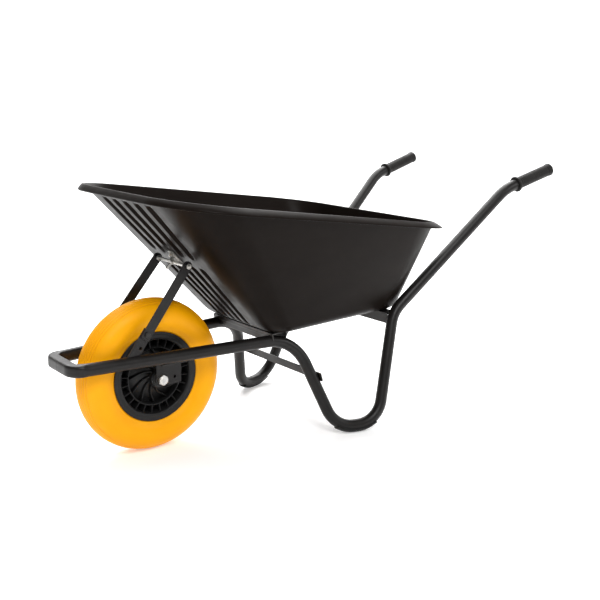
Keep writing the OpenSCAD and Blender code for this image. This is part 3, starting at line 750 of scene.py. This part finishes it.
# ---------------------------------------------------------------- tray
LOW_FRONT, LOW_BACK, LOW_HF, LOW_HB, LOW_CF, LOW_CB = 279.0, 732.0, 175.5, 180.0, 58.0, 66.0
TOP_FRONT, TOP_BACK, TOP_HF, TOP_HB, TOP_CF, TOP_CB = -63.0, 755.0, 314.0, 340.0, 151.0, 128.0
BOW, BOW_REACH, WALL = 16.0, 250.0, 3.5
N_CORNER, N_FRONT, N_SIDE = 22, 116, 16


def low_plane(x):
    return 293 + 0.04 * (x - 400)


def top_plane(x):
    return 612 - 0.138 * (x - 400)


def arc_pts(cx, cy, r, a0, n):
    return [(cx + r * math.cos(math.radians(a0 + 90 * i / n)), cy + r * math.sin(math.radians(a0 + 90 * i / n)))
            for i in range(n + 1)]


def between(a, b, n):
    return [(a[0] + (b[0] - a[0]) * i / (n + 1), a[1] + (b[1] - a[1]) * i / (n + 1)) for i in range(1, n + 1)]


def outline(xf, xb, hf, hb, rf, rb):
    c1 = arc_pts(xb - rb, hb - rb, rb, 0, N_CORNER)
    c2 = arc_pts(xf + rf, hf - rf, rf, 90, N_CORNER)
    c3 = arc_pts(xf + rf, rf - hf, rf, 180, N_CORNER)
    c4 = arc_pts(xb - rb, rb - hb, rb, 270, N_CORNER)
    return (c1 + between(c1[-1], c2[0], N_SIDE) + c2 + between(c2[-1], c3[0], N_FRONT)
            + c3 + between(c3[-1], c4[0], N_SIDE) + c4 + between(c4[-1], c1[0], N_SIDE))


def low_ring(d):
    pts = outline(LOW_FRONT - d, LOW_BACK + d, LOW_HF + d, LOW_HB + d, LOW_CF + d, LOW_CB + d)
    return [Vector((x, y, low_plane(x))) for x, y in pts]


def top_ring(d):
    pts = outline(TOP_FRONT - d, TOP_BACK + d, TOP_HF + d, TOP_HB + d, TOP_CF + d, TOP_CB + d)
    out = []
    for x, y in pts:
        bow = BOW * (1 - (y / (TOP_HF + d)) ** 2) * max(0, min(1, (BOW_REACH - x) / BOW_REACH))
        out.append(Vector((x - bow, y, top_plane(x - bow))))
    return out


WALL_IN = Vector((0.743, 0, 0.669))
WALL_LEN = 513.0
FLUTES, FLUTE_HALF, FLUTE_DEPTH = (-0.372, -0.186, 0.0, 0.186, 0.372), 0.056, 7.0
FLUTE_SPANS = ((0.035, 0.485), (0.555, 0.930))
MIDDLE_SPANS = ((0.035, 0.470), (0.602, 0.930))


def flute_depth(t, y):
    half = LOW_HF * (1 - t) + TOP_HF * t
    along = t * WALL_LEN
    best = 0.0
    for v in FLUTES:
        h = FLUTE_HALF * half
        across = abs(y - v * half)
        if across > h:
            continue
        for t0, t1 in FLUTE_SPANS if v else MIDDLE_SPANS:
            over = max(0, t0 * WALL_LEN + h - along, along - t1 * WALL_LEN + h)
            gap = h - math.hypot(across, over)
            if gap > 0:
                e = min(1, gap / 6.0)
                best = max(best, FLUTE_DEPTH * e * e * (3 - 2 * e))
    return best


def tray_ring(t, d, lift=0.0, fluted=True):
    low, top = low_ring(d), top_ring(d)
    out = []
    for i, (a, b) in enumerate(zip(low, top)):
        p = a * (1 - t) + b * t + Vector((0, 0, lift))
        if fluted and 2 * N_CORNER < i < 4 * N_CORNER + N_SIDE + N_FRONT + 6 and p.x < 330:
            p = p + WALL_IN * flute_depth(t, p.y)
        out.append(p)
    return out


def tray_shape():
    levels = [0.075 + 0.875 * k / 84 for k in range(85)]
    rings = []
    for k in range(9):
        a = math.radians(90 * k / 9)
        rings.append(tray_ring(0.066 * (1 - math.cos(a)), -25 * (1 - math.sin(a))))
    rings += [tray_ring(t, 0) for t in levels]
    lip = [(0.9560, 0.2), (0.9590, 1.2), (0.9595, 3.2), (0.9580, 9), (0.9530, 18), (0.9480, 25.6),
           (0.9462, 27.0),
           (0.9465, 27.8), (0.9490, 28.0), (0.9520, 27.6), (0.9600, 24.2), (0.9700, 19.0), (0.9800, 13.2),
           (0.9880, 8.0), (0.9945, 3.6), (0.9985, 1.0), (1.0, -0.6), (0.9995, -2.0), (0.9970, -3.0),
           (0.9920, -3.5)]
    rings += [tray_ring(t, d, fluted=False) for t, d in lip]
    rings += [tray_ring(t, -WALL) for t in [0.975] + levels[::-1]]
    for k in range(8, -1, -1):
        a = math.radians(90 * k / 9)
        t = 0.066 * (1 - math.cos(a)) + 0.010
        rings.append(tray_ring(t, -WALL - 22 * (1 - math.sin(a)), (WALL - 2.6) * (1 - math.sin(a))))
    return Shape().stack(rings)


piece("tray", tray_shape(), TRAY_PLASTIC, stands_for=["tray"], sharp=60)

# ---------------------------------------------------------------- small bolts on the tray and frame
WALL_LOW = Vector((LOW_FRONT, 0, low_plane(LOW_FRONT)))
WALL_TOP = Vector((TOP_FRONT - BOW, 0, top_plane(TOP_FRONT - BOW)))
WALL_UP = (WALL_TOP - WALL_LOW).normalized()
WALL_OUT = WALL_UP.cross(Vector((0, 1, 0)))
ROD_OFF = (Vector((STRUT_HEAD.x, 0, STRUT_HEAD.z)) - WALL_LOW).dot(WALL_OUT)
CLIP_FOOT = Vector((STRUT_HEAD.x, 0, STRUT_HEAD.z)) - ROD_OFF * WALL_OUT
FIX_R, CROSS_GAP, CROSS_T = 3.0, 0.3, 3.0
LOW_TILT = math.atan(0.04)
clip_axes = on_axes(CLIP_FOOT, WALL_UP, (0, 1, 0))


def under_tray(x):
    return Matrix.Translation((x, 0, low_plane(x))) @ Matrix.Rotation(-LOW_TILT, 4, "Y")


def dome_bolt(length):
    return domed(6, 3.5).put(thread(FIX_R, 0.2, -length, 1.0), Matrix.Identity(4))


clip_bolts, clip_nuts = Shape(), Shape()
for x in (-17, 17):
    clip_bolts.put(dome_bolt(WALL + 3 + 9),
                   clip_axes @ Matrix.Translation((x, 0, 0.4 - WALL)) @ Matrix.Rotation(math.pi, 4, "X"))
    clip_nuts.put(hex_head(10, 5, both=True, hole=3.05), clip_axes @ Matrix.Translation((x, 0, 3.4)))
piece("tray_clip_bolt", clip_bolts, ZINC, stands_for=["tray_clip_bolt"], sharp=28)
piece("tray_clip_nut", clip_nuts, ZINC, stands_for=["tray_clip_nut"], sharp=28)

tray_bolts, tray_washers, tray_nuts = Shape(), Shape(), Shape()
for x0, dx, y in ((314, 0, 72), (648, 20, 120)):
    for s in (1, -1):
        spot = under_tray(x0) @ Matrix.Translation((dx, s * y, 0))
        tray_bolts.put(dome_bolt(WALL + CROSS_T + 12), spot @ Matrix.Translation((0, 0, WALL + 1.7)))
        tray_washers.put(washer(10, FIX_R + 0.2, WALL + 0.1, 1.5), spot)
        tray_nuts.put(hex_head(10, 5, both=True, hole=3.05),
                      spot @ Matrix.Translation((0, 0, -CROSS_GAP - CROSS_T - 5.1)))
piece("tray_bolts", tray_bolts, ZINC, stands_for=["tray_bolts"], sharp=28)
piece("tray_washers", tray_washers, ZINC, stands_for=["tray_washers"])
piece("tray_nuts", tray_nuts, ZINC, stands_for=["tray_nuts"], sharp=28)

screws = Shape()
for s in (1, -1):
    facing = Matrix.Rotation(math.pi, 4, "X") if s > 0 else Matrix.Identity(4)
    screws.put(hex_head(10, 5), along_y((342, s * 118.8, 259)) @ facing)
piece("rail_screws", screws, ZINC, stands_for=["rail_screws"], sharp=28)

# Brace across the front legs.
BRACE_Z, BRACE_HALF = 152.0, 195.0
leg_share = (265 - BRACE_Z) / (265 - 18.4)
LEG_AT = Vector(PATH[2]).lerp(Vector(PATH[3]), leg_share)
LEG_LEAN = math.atan((440 - 366) / (265 - 18.4))
brace_axes = Matrix.Translation((LEG_AT.x, 0, LEG_AT.z)) @ Matrix.Rotation(-LEG_LEAN, 4, "Y")
x0 = TUBE_R + 0.1
brace = Shape()
w = BAR_W / 2
ends = [(-BRACE_HALF, -w + 3), (-BRACE_HALF + 3, -w), (BRACE_HALF - 3, -w), (BRACE_HALF, -w + 3),
        (BRACE_HALF, w - 3), (BRACE_HALF - 3, w), (-BRACE_HALF + 3, w), (-BRACE_HALF, w - 3)]
brace.put(Shape().plate(ends, [], x0, x0 + BAR_T), brace_axes @ on_axes((0, 0, 0), (0, 1, 0), (0, 0, 1)))
piece("leg_brace", brace, BAR_PAINT, stands_for=["leg_brace"], bevel=0.6)
brace_bolts = Shape()
for s in (1, -1):
    spot = brace_axes @ on_axes((x0 + BAR_T + 0.1, s * LEG_AT.y, 0), (0, 1, 0), (0, 0, 1))
    brace_bolts.put(hex_head(10, 4.5), spot)
    brace_bolts.put(thread(FIX_R, 0, -BAR_T, 1.0), spot)
piece("brace_bolts", brace_bolts, ZINC, stands_for=["brace_bolts"], sharp=28)

# ---------------------------------------------------------------- CAD nodes that stay, with eased edges
KEPT = {
    "nose_sleeve": (STEEL, 0.3), "strut_tab_left": (BAR_PAINT, 0.5), "strut_tab_right": (BAR_PAINT, 0.5),
    "tray_clip": (ZINC, 0.4), "front_crossmember": (BAR_PAINT, 0.5), "rear_crossmember": (BAR_PAINT, 0.5),
    "axle_sleeve": (STEEL, 0.3), "bush_left": (NYLON, 0.3), "bush_right": (NYLON, 0.3)}
for name, (material, width) in KEPT.items():
    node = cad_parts[name]
    node.data.materials.clear()
    node.data.materials.append(material)
    weld = node.modifiers.new("weld", "WELD")
    weld.merge_threshold = 0.00001
    edge = node.modifiers.new("edge", "BEVEL")
    edge.width = width * MM
    edge.segments = 2
    edge.limit_method = "ANGLE"
    edge.angle_limit = math.radians(35)
    edge.harden_normals = True

# ---------------------------------------------------------------- stage and light
floor_mat = Nodes("floor")
floor_tone = floor_mat.ramp(floor_mat.noise(3, 3), (0.90, 0.90, 0.90), (0.93, 0.93, 0.93))
FLOOR = floor_mat.finish(floor_tone, floor_mat.span(floor_mat.noise(2, 2), 0.85, 0.95))
glow = FLOOR.node_tree.nodes["Principled BSDF"]
glow.inputs["Specular IOR Level"].default_value = 0.1
glow.inputs["Emission Color"].default_value = (1, 1, 1, 1)
glow.inputs["Emission Strength"].default_value = 0.30

# One sheet, in metres: flat floor that bends up behind the object. It sits just below the tyre and pads.
SHEET_BACK, SHEET_BEND, SHEET_TOP, FLOOR_REACH, FLOOR_DROP = 4.5, 2.0, 9.0, 40.0, 0.0004
sweep_pts = [(-FLOOR_REACH, -FLOOR_DROP)]
for a in range(0, 91, 6):
    sweep_pts.append((SHEET_BACK - SHEET_BEND + SHEET_BEND * math.sin(math.radians(a)),
                      SHEET_BEND - SHEET_BEND * math.cos(math.radians(a)) - FLOOR_DROP))
sweep_pts.append((SHEET_BACK, SHEET_TOP))
forward_flat = Vector((math.sin(YAW), math.cos(YAW), 0))
side_flat = Vector((math.cos(YAW), -math.sin(YAW), 0))
verts, faces = [], []
for dist, z in sweep_pts:
    for across in (-FLOOR_REACH, FLOOR_REACH):
        verts.append(forward_flat * dist + side_flat * across + Vector((0, 0, z)))
for k in range(len(sweep_pts) - 1):
    faces.append((2 * k, 2 * k + 1, 2 * k + 3, 2 * k + 2))
mesh = bpy.data.meshes.new("floor")
mesh.from_pydata(verts, [], faces)
mesh.shade_smooth()
mesh.materials.append(FLOOR)
floor = bpy.data.objects.new("floor", mesh)
bpy.context.scene.collection.objects.link(floor)

world = bpy.data.worlds.new("studio")
world.use_nodes = True
background = world.node_tree.nodes["Background"]
background.inputs["Color"].default_value = (1, 1, 1, 1)
background.inputs["Strength"].default_value = 0.34
bpy.context.scene.world = world


def softbox(name, where, size, power, aim=(300, 0, 350)):
    light = bpy.data.lights.new(name, "AREA")
    light.shape = "RECTANGLE"
    light.size, light.size_y = size
    light.energy = power
    obj = bpy.data.objects.new(name, light)
    obj.location = at(where)
    obj.rotation_euler = (at(aim) - at(where)).to_track_quat("-Z", "Y").to_euler()
    bpy.context.scene.collection.objects.link(obj)
    return obj


softbox("key", (-700, -2700, 2900), (1.5, 1.5), 74)
softbox("fill", (2600, -2600, 1900), (2.0, 1.4), 30)
softbox("top", (500, 500, 3000), (3.2, 2.2), 110)
softbox("sheet", (1900, 2700, 3200), (4.0, 2.5), 190)
bpy.context.scene.view_settings.view_transform = "Standard"
bpy.context.scene.view_settings.look = "None"
